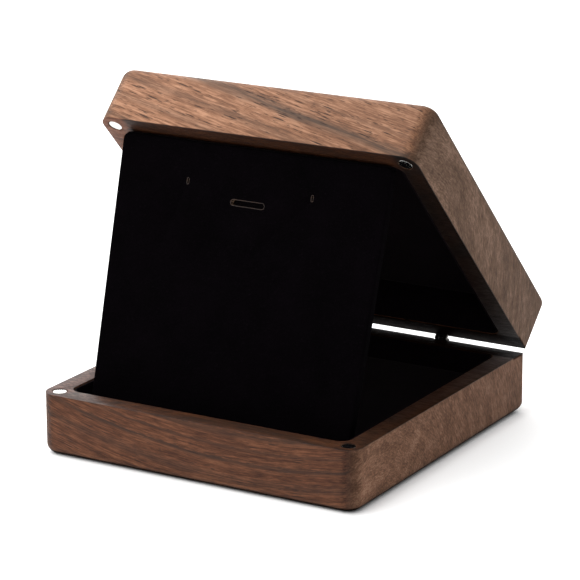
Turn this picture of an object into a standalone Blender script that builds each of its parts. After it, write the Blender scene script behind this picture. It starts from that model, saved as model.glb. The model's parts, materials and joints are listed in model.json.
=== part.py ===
"""Necklace box: two walnut shells on a pair of small hinges, lined with velvet, with magnets in
the rims and a velvet display card that stands in the base and props the lid open.

Metres, +Z up. The origin is the centre of the underside of the base, +Y points to the hinges and
the front faces -Y. The lid is drawn closed and turned open on its hinge axis, and the card is drawn
lying flat and tipped up on its foot.
"""
import math

import bmesh
import bpy
from mathutils import Vector

# Walnut shells: the base and the lid are the same tray
SHELL_WIDTH = 0.1000
SHELL_DEPTH = 0.1000
SHELL_HEIGHT = 0.0177
WALL = 0.0058
PANEL = 0.0045
FRONT_CORNER_RADIUS = 0.0046
BACK_CORNER_RADIUS = 0.0004
OUTER_EDGE_RADIUS = 0.0029
CAVITY_CORNER_RADIUS = 0.0035
RIM_EASE = 0.0003
CLOSED_RIM_GAP = 0.0003

# Clearances between pieces that touch
SEAT_GAP = 0.0003
HARDWARE_GAP = 0.0001
CUT_OVERRUN = 0.0010

# Velvet linings and cushions
LINING = 0.0006
LINING_BELOW_RIM = 0.0008
CUSHION_BELOW_RIM = 0.0057
LID_PAD = 0.0024
CUSHION_EDGE_RADIUS = 0.0012

# Disc magnets in the front corners of both rims
MAGNET_RADIUS = 0.0020
MAGNET_THICKNESS = 0.0020
MAGNET_CLEARANCE = 0.00015
MAGNET_SINK = 0.0001
MAGNET_FROM_SIDE = 0.0041
MAGNET_FROM_FRONT = 0.0041

# Hinges: a narrow leaf in each shell, three knuckles and a pin
HINGE_SPACING = 0.0460
HINGE_WIDTH = 0.0037
AXIS_BEHIND_BACK = 0.0010
AXIS_BELOW_RIM = 0.0011
LEAF_THICKNESS = 0.0008
LEAF_LENGTH = 0.0090
KNUCKLE_RADIUS = 0.0012
MIDDLE_KNUCKLE = 0.0013
KNUCKLE_GAP = 0.0002
PIN_RADIUS = 0.0005
PIN_CLEARANCE = 0.00006
PIN_HEAD_RADIUS = 0.00065
PIN_HEAD_THICKNESS = 0.0003
SCREW_SHANK_RADIUS = 0.00035
SCREW_TIP_COVER = 0.0011
SCREW_HEAD_RADIUS = 0.0009
SCREW_HEAD_THICKNESS = 0.0004
SCREW_FROM_LEAF_END = 0.0008

# Display card, from its foot on the base cushion
CARD_LEAN = math.radians(73.5)
CARD_COVER = 0.0004
CARD_CORE = 0.0010
CARD_BACKING = 0.0004
CARD_CORNER_RADIUS = 0.0019
CARD_EDGE_RADIUS = 0.0004
CARD_SIDE_CLEARANCE = 0.0021
CARD_FLARE = 0.0015
CARD_BACK_CLEARANCE = 0.0028
FINGER_GAP = 0.0054
SLOT_LENGTH = 0.0105
SLOT_HEIGHT = 0.0015
SLOT_BELOW_TOP = 0.0152
SLIT_HEIGHT = 0.0018
SLIT_WIDTH = 0.0009
SLIT_SPACING = 0.0394
SLIT_BELOW_TOP = 0.0111
CUT_END_ROUNDING_SHARE = 0.48

# How finely round shapes are drawn
CORNER_STEPS = 7
BACK_CORNER_STEPS = 2
EDGE_STEPS = 4
ON_LINE_SHARE = 0.1
ROUND_SIDES = 32
KNUCKLE_SIDES = 24
SMOOTH_ANGLE = math.radians(30)
CRISP_ANGLE = math.radians(60)

# Places that follow from the sizes above
FRONT = -SHELL_DEPTH / 2
BACK = SHELL_DEPTH / 2
AXIS = Vector((0, BACK + AXIS_BEHIND_BACK, SHELL_HEIGHT - AXIS_BELOW_RIM))
LID_RIM_ABOVE_AXIS = AXIS_BELOW_RIM + CLOSED_RIM_GAP
LINED_WALL = WALL + SEAT_GAP + LINING
CUSHION_TOP = SHELL_HEIGHT - CUSHION_BELOW_RIM
CARD_THICKNESS = CARD_COVER + SEAT_GAP + CARD_CORE + SEAT_GAP + CARD_BACKING
CARD_WIDTH = SHELL_WIDTH - 2 * (LINED_WALL + CARD_SIDE_CLEARANCE)
CARD_FOOT_Y = FRONT + LINED_WALL + FINGER_GAP + CARD_THICKNESS * math.sin(CARD_LEAN)
CARD_FOOT = Vector((0, CARD_FOOT_Y, CUSHION_TOP + SEAT_GAP))
CARD_LENGTH = BACK - LINED_WALL - CARD_BACK_CLEARANCE - CARD_FOOT_Y
SCREW_REACH = WALL - SCREW_TIP_COVER
SCREWS_FROM_RIM = {
    "near": AXIS_BELOW_RIM + KNUCKLE_RADIUS + SEAT_GAP + SCREW_HEAD_RADIUS,
    "far": LEAF_LENGTH - SCREW_FROM_LEAF_END - SCREW_HEAD_RADIUS,
}


def lid_opening():
    """The angle at which the inner edge of the lid's front rim rests on the top of the card."""
    reach = AXIS_BEHIND_BACK + SHELL_DEPTH - WALL
    height = LID_RIM_ABOVE_AXIS
    up_card = Vector((0, math.cos(CARD_LEAN), math.sin(CARD_LEAN)))
    axis_up_card = (AXIS - CARD_FOOT).dot(up_card)
    rise = CARD_LENGTH + SEAT_GAP - axis_up_card
    return math.atan2(reach, height) + math.asin(rise / math.hypot(reach, height)) - CARD_LEAN


def clear_scene():
    for thing in list(bpy.data.objects):
        bpy.data.objects.remove(thing, do_unlink=True)
    for group in list(bpy.data.collections):
        bpy.data.collections.remove(group)


def new_collection(name):
    group = bpy.data.collections.new(name)
    bpy.context.scene.collection.children.link(group)
    return group


def material(name, colour, roughness, metallic=0.0):
    made = bpy.data.materials.new(name)
    made.use_nodes = True
    shader = made.node_tree.nodes["Principled BSDF"]
    shader.inputs["Base Color"].default_value = (*colour, 1.0)
    shader.inputs["Roughness"].default_value = roughness
    shader.inputs["Metallic"].default_value = metallic
    made.diffuse_color = (*colour, 1.0)
    return made


def add_object(name, mesh_data, group, parent=None):
    made = bpy.data.objects.new(name, mesh_data)
    group.objects.link(made)
    made.parent = parent
    return made


def hide_cutter(cutter):
    cutter.hide_render = True
    cutter.display_type = "WIRE"


def block(
    name, low, high, group, parent=None,
    corner=0.0, edge=0.0, edge_side=0, steps=CORNER_STEPS, back_corner=None,
):
    """A box between two corners, with its upright edges rounded and, if asked, its top or bottom edge.

    back_corner is for a box whose two back upright edges are rounded less than its front ones.
    """
    form = bmesh.new()
    bmesh.ops.create_cube(form, size=1.0)
    low, high = Vector(low), Vector(high)
    size, middle = high - low, (low + high) / 2
    for vertex in form.verts:
        vertex.co = Vector(a * b for a, b in zip(vertex.co, size)) + middle
    if corner:
        upright = [e for e in form.edges if abs(e.verts[0].co.z - e.verts[1].co.z) > size.z / 2]
        if back_corner is not None:
            upright = [e for e in upright if e.verts[0].co.y < middle.y]
        bmesh.ops.bevel(form, geom=upright, offset=corner, segments=steps, profile=0.5, affect="EDGES")
    if edge:
        level = high.z if edge_side > 0 else low.z
        ring = [e for e in form.edges if all(abs(v.co.z - level) < edge * ON_LINE_SHARE for v in e.verts)]
        bmesh.ops.bevel(form, geom=ring, offset=edge, segments=EDGE_STEPS, profile=0.5, affect="EDGES")
    if back_corner is not None:
        ease_back_corners(form, low, high, back_corner)
    shape = bpy.data.meshes.new(name)
    form.to_mesh(shape)
    form.free()
    return add_object(name, shape, group, parent)


def ease_back_corners(form, low, high, radius):
    """Round the two back upright edges and the mitres that they run into."""

    def on_mitre(point):
        from_side = min(point.x - low.x, high.x - point.x)
        return abs(from_side - (high.y - point.y)) < radius * ON_LINE_SHARE

    mitres = [e for e in form.edges if all(on_mitre(v.co) for v in e.verts)]
    bmesh.ops.bevel(
        form, geom=mitres, offset=radius, segments=BACK_CORNER_STEPS, profile=0.5, affect="EDGES"
    )


def cylinder(name, radius, start, end, group, parent=None, sides=ROUND_SIDES):
    """A closed cylinder between two points."""
    start, end = Vector(start), Vector(end)
    form = bmesh.new()
    bmesh.ops.create_cone(
        form, cap_ends=True, segments=sides, radius1=radius, radius2=radius, depth=(end - start).length
    )
    shape = bpy.data.meshes.new(name)
    form.to_mesh(shape)
    form.free()
    made = add_object(name, shape, group, parent)
    made.location = (start + end) / 2
    made.rotation_mode = "QUATERNION"
    made.rotation_quaternion = Vector((0, 0, 1)).rotation_difference(end - start)
    return made


def boolean(target, cutter, operation="DIFFERENCE"):
    change = target.modifiers.new(f"{operation.lower()} {cutter.name}", "BOOLEAN")
    change.operation = operation
    change.object = cutter
    change.solver = "EXACT"
    hide_cutter(cutter)


def finish(made, look):
    """Give a piece its material and smooth shading with crisp edges."""
    made.data.materials.append(look)
    made.data.shade_smooth()
    made.data.set_sharp_from_angle(angle=SMOOTH_ANGLE)


def both_sides(distance):
    return (("left", -distance / 2), ("right", distance / 2))


def shell(name, group, cutters, look, parent=None, origin=Vector((0, 0, 0)), up=1):
    """A walnut tray whose rim faces up (the base, up=1) or down (the lid, up=-1) from its panel."""

    def place(x, y, height):
        return Vector((x, y, up * height)) + origin

    def ordered(first, second):
        low = Vector(map(min, first, second))
        high = Vector(map(max, first, second))
        return low, high

    half = SHELL_WIDTH / 2
    low, high = ordered(place(-half, FRONT, 0), place(half, BACK, SHELL_HEIGHT))
    made = block(
        name, low, high, group, parent,
        FRONT_CORNER_RADIUS, OUTER_EDGE_RADIUS, -up, back_corner=BACK_CORNER_RADIUS,
    )
    low, high = ordered(
        place(-half + WALL, FRONT + WALL, PANEL),
        place(half - WALL, BACK - WALL, SHELL_HEIGHT + CUT_OVERRUN),
    )
    boolean(made, block(f"{name}_cavity_cutter", low, high, cutters, parent, CAVITY_CORNER_RADIUS))
    ease = made.modifiers.new("ease the rim", "BEVEL")
    ease.width = RIM_EASE
    ease.segments = 1
    ease.limit_method = "ANGLE"
    ease.angle_limit = CRISP_ANGLE
    for side, x in both_sides(SHELL_WIDTH - 2 * MAGNET_FROM_SIDE):
        hole_depth = MAGNET_SINK + MAGNET_THICKNESS + SEAT_GAP
        start = place(x, FRONT + MAGNET_FROM_FRONT, SHELL_HEIGHT - hole_depth)
        end = place(x, FRONT + MAGNET_FROM_FRONT, SHELL_HEIGHT + CUT_OVERRUN)
        hole_radius = MAGNET_RADIUS + MAGNET_CLEARANCE
        boolean(made, cylinder(f"{name}_magnet_cutter_{side}", hole_radius, start, end, cutters, parent))
    recess_half = HINGE_WIDTH / 2 + SEAT_GAP
    recess_depth = LEAF_THICKNESS + SEAT_GAP
    for side, x in both_sides(HINGE_SPACING):
        low, high = ordered(
            place(x - recess_half, BACK - recess_depth, SHELL_HEIGHT - LEAF_LENGTH - SEAT_GAP),
            place(x + recess_half, BACK + CUT_OVERRUN, SHELL_HEIGHT + CUT_OVERRUN),
        )
        boolean(made, block(f"{name}_leaf_cutter_{side}", low, high, cutters, parent))
        for screw, from_rim in SCREWS_FROM_RIM.items():
            height = SHELL_HEIGHT - from_rim
            start = place(x, BACK + CUT_OVERRUN, height)
            end = place(x, BACK - SCREW_REACH, height)
            pilot = SCREW_SHANK_RADIUS + HARDWARE_GAP
            cutter_name = f"{name}_{screw}_screw_cutter_{side}"
            boolean(made, cylinder(cutter_name, pilot, start, end, cutters, parent, KNUCKLE_SIDES))
    finish(made, look)


def wall_lining(name, group, cutters, look, low_z, high_z, parent=None, y_offset=0.0):
    """The velvet strip round the inside of a tray's four walls."""
    inset = WALL + SEAT_GAP
    half = SHELL_WIDTH / 2
    corner = CAVITY_CORNER_RADIUS - SEAT_GAP
    low = (-half + inset, FRONT + inset + y_offset, low_z)
    high = (half - inset, BACK - inset + y_offset, high_z)
    made = block(name, low, high, group, parent, corner)
    low = (-half + LINED_WALL, FRONT + LINED_WALL + y_offset, low_z - CUT_OVERRUN)
    high = (half - LINED_WALL, BACK - LINED_WALL + y_offset, high_z + CUT_OVERRUN)
    boolean(made, block(f"{name}_cutter", low, high, cutters, parent, corner - LINING))
    finish(made, look)


def cushion(name, group, look, low_z, high_z, soft_side, parent=None, y_offset=0.0):
    """A velvet-covered pad that fills the tray inside its wall lining."""
    inset = LINED_WALL + SEAT_GAP
    half = SHELL_WIDTH / 2
    corner = CAVITY_CORNER_RADIUS - SEAT_GAP - LINING - SEAT_GAP
    low = (-half + inset, FRONT + inset + y_offset, low_z)
    high = (half - inset, BACK - inset + y_offset, high_z)
    made = block(name, low, high, group, parent, corner, CUSHION_EDGE_RADIUS, soft_side, EDGE_STEPS)
    finish(made, look)


def magnets(prefix, group, look, low_z, high_z, parent=None, y_offset=0.0):
    for side, x in both_sides(SHELL_WIDTH - 2 * MAGNET_FROM_SIDE):
        y = FRONT + MAGNET_FROM_FRONT + y_offset
        ends = ((x, y, low_z), (x, y, high_z))
        made = cylinder(f"{prefix}_magnet_{side}", MAGNET_RADIUS, *ends, group, parent)
        finish(made, look)


def hinge_leaf(name, x, up, knuckles, group, cutters, look, parent=None, axis=AXIS):
    """A leaf in the back wall, up (1) or down (-1) from the axis, with its knuckles and screw holes."""
    face = axis.y - AXIS_BEHIND_BACK
    rim = axis.z + (LID_RIM_ABOVE_AXIS if up > 0 else AXIS_BELOW_RIM)
    clear_of_knuckles = KNUCKLE_RADIUS + KNUCKLE_GAP
    near = axis.z + up * clear_of_knuckles
    far = rim + up * LEAF_LENGTH
    low = (x - HINGE_WIDTH / 2, face - LEAF_THICKNESS, min(near, far))
    high = (x + HINGE_WIDTH / 2, face, max(near, far))
    made = block(name, low, high, group, parent)
    bore = PIN_RADIUS + PIN_CLEARANCE
    for number, (start, end) in enumerate(knuckles, 1):
        # a web of the leaf's own thickness carries each knuckle
        low = (x + start, face - LEAF_THICKNESS, min(axis.z, near + up * KNUCKLE_GAP))
        high = (x + end, face, max(axis.z, near + up * KNUCKLE_GAP))
        web = block(f"{name}_web_{number}", low, high, cutters, parent)
        boolean(made, web, "UNION")
        ends = ((x + start, axis.y, axis.z), (x + end, axis.y, axis.z))
        barrel = cylinder(f"{name}_knuckle_{number}", KNUCKLE_RADIUS, *ends, cutters, parent, KNUCKLE_SIDES)
        boolean(made, barrel, "UNION")
    ends = ((x - HINGE_WIDTH, axis.y, axis.z), (x + HINGE_WIDTH, axis.y, axis.z))
    boolean(made, cylinder(f"{name}_bore_cutter", bore, *ends, cutters, parent, KNUCKLE_SIDES))
    for screw, from_rim in SCREWS_FROM_RIM.items():
        z = rim + up * from_rim
        ends = ((x, face - LEAF_THICKNESS - CUT_OVERRUN, z), (x, face + CUT_OVERRUN, z))
        hole = SCREW_SHANK_RADIUS + HARDWARE_GAP
        cutter_name = f"{name}_{screw}_screw_cutter"
        boolean(made, cylinder(cutter_name, hole, *ends, cutters, parent, KNUCKLE_SIDES))
    finish(made, look)


def leaf_screws(prefix, x, up, group, cutters, look, parent=None, axis=AXIS):
    """The two cheese-head screws that hold a leaf, near the rim and far from it."""
    face = axis.y - AXIS_BEHIND_BACK
    rim = axis.z + (LID_RIM_ABOVE_AXIS if up > 0 else AXIS_BELOW_RIM)
    under_head = face + HARDWARE_GAP
    top = under_head + SCREW_HEAD_THICKNESS
    tip = face - SCREW_REACH + SEAT_GAP
    for screw, from_rim in SCREWS_FROM_RIM.items():
        z = rim + up * from_rim
        name = f"{prefix}_{screw}"
        made = cylinder(name, SCREW_SHANK_RADIUS, (x, tip, z), (x, top, z), group, parent, KNUCKLE_SIDES)
        ends = ((x, under_head, z), (x, top, z))
        head = cylinder(f"{name}_head", SCREW_HEAD_RADIUS, *ends, cutters, parent, KNUCKLE_SIDES)
        boolean(made, head, "UNION")
        finish(made, look)


def hinge_pin(name, x, group, cutters, look):
    """A pin with a small head at each end of the knuckles."""
    half = HINGE_WIDTH / 2 + HARDWARE_GAP
    ends = ((x - half, AXIS.y, AXIS.z), (x + half, AXIS.y, AXIS.z))
    made = cylinder(name, PIN_RADIUS, *ends, group, None, KNUCKLE_SIDES)
    for side, sign in (("left", -1), ("right", 1)):
        inner = x + sign * half
        outer = inner + sign * PIN_HEAD_THICKNESS
        # the head overlaps the shank's end so that the two join
        root = x + sign * (half - HARDWARE_GAP / 2)
        start, end = (root, AXIS.y, AXIS.z), (outer, AXIS.y, AXIS.z)
        boolean(made, cylinder(f"{name}_head_{side}", PIN_HEAD_RADIUS, start, end, cutters), "UNION")
    finish(made, look)


def card_cuts(made, cutters, parent, low_z, high_z):
    """Cut the long slot and the two slits through one layer of the card."""
    top = CARD_LENGTH
    cuts = [("slot", 0, top - SLOT_BELOW_TOP, SLOT_LENGTH, SLOT_HEIGHT)]
    for side, x in both_sides(SLIT_SPACING):
        cuts.append((f"slit_{side}", x, top - SLIT_BELOW_TOP, SLIT_WIDTH, SLIT_HEIGHT))
    for cut_name, x, y, width, height in cuts:
        low = (x - width / 2, y - height / 2, low_z - CUT_OVERRUN)
        high = (x + width / 2, y + height / 2, high_z + CUT_OVERRUN)
        end_radius = min(width, height) * CUT_END_ROUNDING_SHARE
        cutter_name = f"{made.name}_{cut_name}_cutter"
        boolean(made, block(cutter_name, low, high, cutters, parent, end_radius, steps=EDGE_STEPS))


def flare(made):
    """Widen one layer of the card from its foot to its top."""
    share = CARD_FLARE / (CARD_WIDTH / 2)
    for vertex in made.data.vertices:
        vertex.co.x *= 1 + share * vertex.co.y / CARD_LENGTH
    return made


def display_card(group, cutters, parent, velvet, board):
    """The card lying flat on its back: a velvet cover with turned-down edges, a board and a backing.

    It is a little wider at its top than at its foot.
    """
    half = CARD_WIDTH / 2
    top = CARD_THICKNESS
    cover = flare(block(
        "card_cover", (-half, 0, 0), (half, CARD_LENGTH, top), group, parent,
        CARD_CORNER_RADIUS, CARD_EDGE_RADIUS, 1, EDGE_STEPS,
    ))
    pocket = CARD_COVER
    pocket_corner = CARD_CORNER_RADIUS - pocket
    low = (-half + pocket, pocket, -CUT_OVERRUN)
    high = (half - pocket, CARD_LENGTH - pocket, top - CARD_COVER)
    pocket_form = block("card_pocket_cutter", low, high, cutters, parent, pocket_corner, steps=EDGE_STEPS)
    boolean(cover, flare(pocket_form))
    card_cuts(cover, cutters, parent, 0, top)
    finish(cover, velvet)
    inset = pocket + SEAT_GAP
    layer_corner = pocket_corner - SEAT_GAP
    core_bottom = CARD_BACKING + SEAT_GAP
    layers = (
        ("card_core", core_bottom, core_bottom + CARD_CORE, board),
        ("card_backing", 0, CARD_BACKING, velvet),
    )
    for name, low_z, high_z, look in layers:
        low = (-half + inset, inset, low_z)
        high = (half - inset, CARD_LENGTH - inset, high_z)
        layer = flare(block(name, low, high, group, parent, layer_corner, steps=EDGE_STEPS))
        card_cuts(layer, cutters, parent, low_z, high_z)
        finish(layer, look)


def axis_empty(name, place, turn, group):
    """An empty on a joint's axis. What it carries is drawn round it and turned with it."""
    made = bpy.data.objects.new(name, None)
    made.location = place
    made.rotation_euler.x = turn
    group.objects.link(made)
    return made


def main():
    clear_scene()
    group = new_collection("necklace_box")
    cutters = new_collection("cutters")
    walnut = material("walnut", (0.115, 0.052, 0.028), 0.45)
    velvet = material("velvet", (0.004, 0.003, 0.004), 0.95)
    board = material("board", (0.16, 0.10, 0.06), 0.90)
    nickel = material("nickel", (0.66, 0.65, 0.63), 0.22, 1.0)
    steel = material("dark_steel", (0.10, 0.09, 0.08), 0.38, 1.0)

    lid_axis = axis_empty("lid_hinge_axis", AXIS, -lid_opening(), group)
    card_axis = axis_empty("card_foot_axis", CARD_FOOT, CARD_LEAN, group)

    # base, in the part's own frame
    shell("base_shell", group, cutters, walnut)
    lining_top = SHELL_HEIGHT - LINING_BELOW_RIM
    wall_lining("base_wall_lining", group, cutters, velvet, PANEL + SEAT_GAP, lining_top)
    cushion("base_cushion", group, velvet, PANEL + SEAT_GAP, CUSHION_TOP, 1)
    magnet_top = SHELL_HEIGHT - MAGNET_SINK
    magnets("base", group, nickel, magnet_top - MAGNET_THICKNESS, magnet_top)

    # lid, drawn closed with the hinge axis as its origin
    lid_y = -AXIS.y
    lid_rim = LID_RIM_ABOVE_AXIS
    lid_top = lid_rim + SHELL_HEIGHT
    shell("lid_shell", group, cutters, walnut, lid_axis, Vector((0, lid_y, lid_top)), -1)
    under_panel = lid_top - PANEL - SEAT_GAP
    lining_low = lid_rim + LINING_BELOW_RIM
    wall_lining("lid_wall_lining", group, cutters, velvet, lining_low, under_panel, lid_axis, lid_y)
    cushion("lid_pad", group, velvet, under_panel - LID_PAD, under_panel, -1, lid_axis, lid_y)
    magnet_low = lid_rim + MAGNET_SINK
    magnets("lid", group, nickel, magnet_low, magnet_low + MAGNET_THICKNESS, lid_axis, lid_y)

    # hinges: the base carries the middle knuckle and the lid the two outer ones
    middle = ((-MIDDLE_KNUCKLE / 2, MIDDLE_KNUCKLE / 2),)
    inner_end = MIDDLE_KNUCKLE / 2 + KNUCKLE_GAP
    outer = ((-HINGE_WIDTH / 2, -inner_end), (inner_end, HINGE_WIDTH / 2))
    lid_origin = Vector((0, 0, 0))
    for side, x in both_sides(HINGE_SPACING):
        hinge_leaf(f"base_leaf_{side}", x, -1, middle, group, cutters, steel)
        hinge_leaf(f"lid_leaf_{side}", x, 1, outer, group, cutters, steel, lid_axis, lid_origin)
        hinge_pin(f"hinge_pin_{side}", x, group, cutters, steel)
        leaf_screws(f"base_screw_{side}", x, -1, group, cutters, steel)
        leaf_screws(f"lid_screw_{side}", x, 1, group, cutters, steel, lid_axis, lid_origin)

    display_card(group, cutters, card_axis, velvet, board)
    bpy.context.view_layer.update()
    print("lid opening", round(math.degrees(lid_opening()), 3), "degrees")
    print("hinge axis", [round(value, 6) for value in AXIS])
    print("card foot", [round(value, 6) for value in CARD_FOOT], "length", round(CARD_LENGTH, 6))


main()
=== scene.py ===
import json
import math

import bmesh
import bpy
from mathutils import Matrix, Vector


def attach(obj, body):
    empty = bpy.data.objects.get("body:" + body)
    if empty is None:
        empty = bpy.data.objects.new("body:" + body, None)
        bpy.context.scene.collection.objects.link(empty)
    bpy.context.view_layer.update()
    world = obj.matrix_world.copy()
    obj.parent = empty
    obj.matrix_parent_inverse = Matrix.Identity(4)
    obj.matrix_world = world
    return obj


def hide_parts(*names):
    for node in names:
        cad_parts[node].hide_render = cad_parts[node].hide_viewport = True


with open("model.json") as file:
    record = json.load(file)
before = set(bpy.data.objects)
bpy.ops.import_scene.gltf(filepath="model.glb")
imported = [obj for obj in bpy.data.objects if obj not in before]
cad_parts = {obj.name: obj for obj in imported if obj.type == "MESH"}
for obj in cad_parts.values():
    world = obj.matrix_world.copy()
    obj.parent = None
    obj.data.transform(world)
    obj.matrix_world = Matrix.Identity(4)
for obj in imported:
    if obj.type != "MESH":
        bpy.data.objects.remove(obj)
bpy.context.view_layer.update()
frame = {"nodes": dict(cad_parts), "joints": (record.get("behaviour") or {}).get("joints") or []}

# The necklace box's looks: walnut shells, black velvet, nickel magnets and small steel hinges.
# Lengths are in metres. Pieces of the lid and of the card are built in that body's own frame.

# Camera, from the box's edges in the photograph
CAMERA_AZIMUTH = 30.415
CAMERA_ELEVATION = 16.336
CAMERA_ROLL = -0.163
CAMERA_DISTANCE = 0.83117
CAMERA_TARGET = Vector((0, 0, 0.035))
CAMERA_SIDE_STEP = 0.00109
CAMERA_RISE = 0.00663
LENS_MM = 183.53
SENSOR_MM = 36.0

# Shells
WALL = 0.0058
PANEL = 0.0045
FRONT_CORNER_RADIUS = 0.0046
BACK_CORNER_RADIUS = 0.0004
OUTER_EDGE_RADIUS = 0.0029
CAVITY_CORNER_RADIUS = 0.0035
RIM_EASE = 0.00030
# painted shade on the rims: how far off a rim's plane, in millimetres, it starts to ease off and where it is
# gone. Then from where to where across the box, in millimetres, the painted light at the rims' left ends
# fades out, and the painted shade at their right ends fades in
PAINTED_RIM_SHADE_EDGE = (0.05, 0.30)
LEFT_RIM_END = (-43.0, -40.5)
RIGHT_RIM_START = (42.5, 44.5)
# painted shade round the underside: between these upward parts of a face's normal it fades out
PAINTED_UNDER_SHADE_SLOPE = (-0.70, -0.40)
# painted shadow along the back rims: its reach from the back and its depth off the rim's plane, in
# millimetres, its colour, and the share of gloss left there
BACK_RIM_REACH = (6.0, 7.4)
BACK_RIM_DEPTH = (0.35, 0.80)
PAINTED_BACK_RIM_SHADOW = (0.22, 0.18, 0.16, 1.0)
BACK_RIM_GLOSS = 0.12
HOLE_CLEARANCE = 0.00015
LEAF_CLEARANCE = 0.0003
CUT_OVERRUN = 0.0010

# Soft pieces
LINING = 0.0006
LINING_BELOW_RIM = 0.00025
CUSHION_EDGE = 0.0022
BASE_CUSHION_CROWN = 0.0005
LID_PAD_CROWN = 0.0003
PAD_STEP = 0.0022
# two waves that cross on a pad, in radians to its half width and half length, and their share of its
# crown
PAD_WAVES = ((5.1, 2.3), (-1.7, 4.4))
PAD_WAVE_SHARE = 0.08

# Card
CARD_CORNER_RADIUS = 0.0019
CARD_FLARE = 0.0015
CARD_EDGE_RADIUS = 0.0006
CARD_COVER = 0.0004
SLOT_LENGTH = 0.0105
SLOT_HEIGHT = 0.0015
SLOT_BELOW_TOP = 0.0152
SLIT_WIDTH = 0.0005
SLIT_HEIGHT = 0.0016
SLIT_SPACING = 0.0394
SLIT_BELOW_TOP = 0.0111
# the width of the brown ring round each cut, painted sheen of the pile's cut edge
CUT_EDGE = 0.00018
CUT_END_SHARE = 0.49

# Small metal pieces
MAGNET_CHAMFER = 0.00018
SCREW_HEAD = 0.0004
SCREW_SHANK_RADIUS = 0.00035
SCREW_SLOT_WIDTH = 0.00028
SCREW_SLOT_DEPTH = 0.00022
SCREW_SLOT_REACH = 1.2
# the angle of a screw's slot in radians, and how it grows with the screw's x and z
SCREW_ANGLE = 0.4
SCREW_ANGLE_STEPS = (58.9, 108.3)
LIP_HALF_WIDTH = 0.0009
LIP_DEPTH = 0.0005
LIP_FROM_AXIS = (0.0008, 0.0017)
LIP_BORE_RADIUS = 0.00125

# How finely shapes are drawn
CORNER_STEPS = 16
BACK_CORNER_STEPS = 3
EDGE_STEPS = 10
ON_LINE_SHARE = 0.1
ROUND_SIDES = 64
SCREW_SIDES = 32
SHANK_SIDES = 16
SOFT_STEPS = 6
CARD_CORNER_STEPS = 8
CARD_EDGE_STEPS = 6
BACKING_EDGE_STEPS = 4
SMALL_STEPS = 3
LINING_STEPS = 2
SMOOTH_ANGLE = math.radians(32)
CRISP_ANGLE = math.radians(60)

MILLIMETRES = 1000.0

# Wood

# each kind of grain is noise: its steps in a millimetre along the grain and across it (for the rings of
# the end grain, along the rings and across them), its shift, detail and roughness
GRAIN = {
    "fibre": (0.22, 2.6, 0.0, 3.0, 0.7),
    "band": (0.045, 0.9, 3.0, 4.0, 0.6),
    "mottle": (0.050, 0.22, 5.0, 2.0, 0.6),
    "wide_ring": (0.09, 0.45, 1.0, 3.0, 0.6),
    "fine_ring": (0.55, 2.2, 2.0, 4.0, 0.7),
}
# how the layers wander off their circles: steps in a millimetre on three axes, shift, detail, roughness
SLOW_WANDER = ((0.022, 0.05, 0.07), 0.0, 2.0, 0.5)
QUICK_WANDER = ((0.09, 0.45, 0.45), 7.0, 3.0, 0.6)
# noise from one growth layer to the next: its scale in a millimetre, detail and roughness
LAYER_NOISE = (1.1, 4.0, 0.7)
# shares of the layers, band, fibre and mottle along the grain, and of wide rings, fine rings and mottle
ALONG_SHARES = (0.16, 0.26, 0.42, 0.16)
END_SHARES = (0.27, 0.53, 0.20)
# from where to where across the box, in millimetres, painted light at the left goes over to painted shade at
# the right
PAINTED_LIGHT_FADE_REACH = (-45.0, 45.0)
# open pores: steps in a millimetre along the grain and across it, and shift
LONG_PORES = (0.15, 1.60, 0.0)
SHORT_PORES = (0.40, 2.6, 9.0)
PORE_DEPTH = 2.2
# how the mottle and the band crowd the pores, and how the band breaks up the streaks
MOTTLE_CROWDS = (0.40, 0.60)
BAND_CROWDS = (0.38, 0.62, 1.0, 0.45)
BAND_BREAKS = (0.30, 0.55, 1.15, 0.65)
STREAK_RAGGEDNESS = 2.4
# a usual distance from the pith, in millimetres
RING_RADIUS = 50.0
# how far a face turns to the side before it shows end grain
END_GRAIN_TURN = (0.35, 0.90)
STREAKS_ON_END_GRAIN = 0.3
WOOD_GLOSS = 0.14
END_GLOSS = 0.04
WOOD_ROUGHNESS = (0.54, 0.42)
END_ROUGHNESS_MORE = 0.20
WOOD_RELIEF = (0.00010, 0.45)
FIBRE_RELIEF_SHARE = 0.30

# Soft, board and metal surfaces

# scales of noises in a millimetre, how bright the tufts are, and the depth and strength of each relief
NAP_SCALE = 0.09
TUFT_SCALE = 5.0
FLECK_SCALE = 2.4
PILE_SHADES = (0.5, 2.0)
FLECK_SHADE = 4.0
FLECK_LEVELS = (0.60, 0.74)
NAP_SHARE = 1.2
TUFT_SHARE = 0.8
PILE_LEVELS = (0.5, 1.4)
PILE_RELIEF = (0.00016, 0.7)
PILE_ROUGHNESS = (0.9, 1.0)
PILE_GLOSS = 0.01
SHEEN_ROUGHNESS = 0.30
# threads of the woven ground, in radians in a millimetre
WEAVE_TURN = 21.0
WEAVE_UNEVEN_SCALE = 2.2
WEAVE_RELIEF = (0.00005, 0.6)
WEAVE_ROUGHNESS = (0.75, 0.95)
BOARD_FLECK_SCALE = 3.0
BOARD_RELIEF = (0.00006, 0.5)
BOARD_ROUGHNESS = (0.8, 0.95)
SCRATCH_SCALE = 9.0
SCRATCH_STRENGTH = 0.4
METAL_CLOUD_SCALE = 0.9
METAL_SHADE = 0.75

# Studio

FLOOR_HALF = 4.0
FLOOR_ALBEDO = 0.92
FLOOR_UNEVEN = 0.02
FLOOR_CLOUD_SCALE = 0.4
FLOOR_ROUGHNESS = 0.9
FLOOR_GLOSS = 0.1
# light that bounces about the room, given as the floor's own glow: its strength, and from where to where
# beside the box it fades in, in millimetres, which paints a contact shadow round the box
FLOOR_GLOW = 0.40
FLOOR_GLOW_SHADOW_REACH = (-3.0, 5.0)
AMBIENT = 0.03
KEY_FROM = (-90.0, 48.0)
KEY_ANGLE = 60.0
KEY_ENERGY = 1.24
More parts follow.
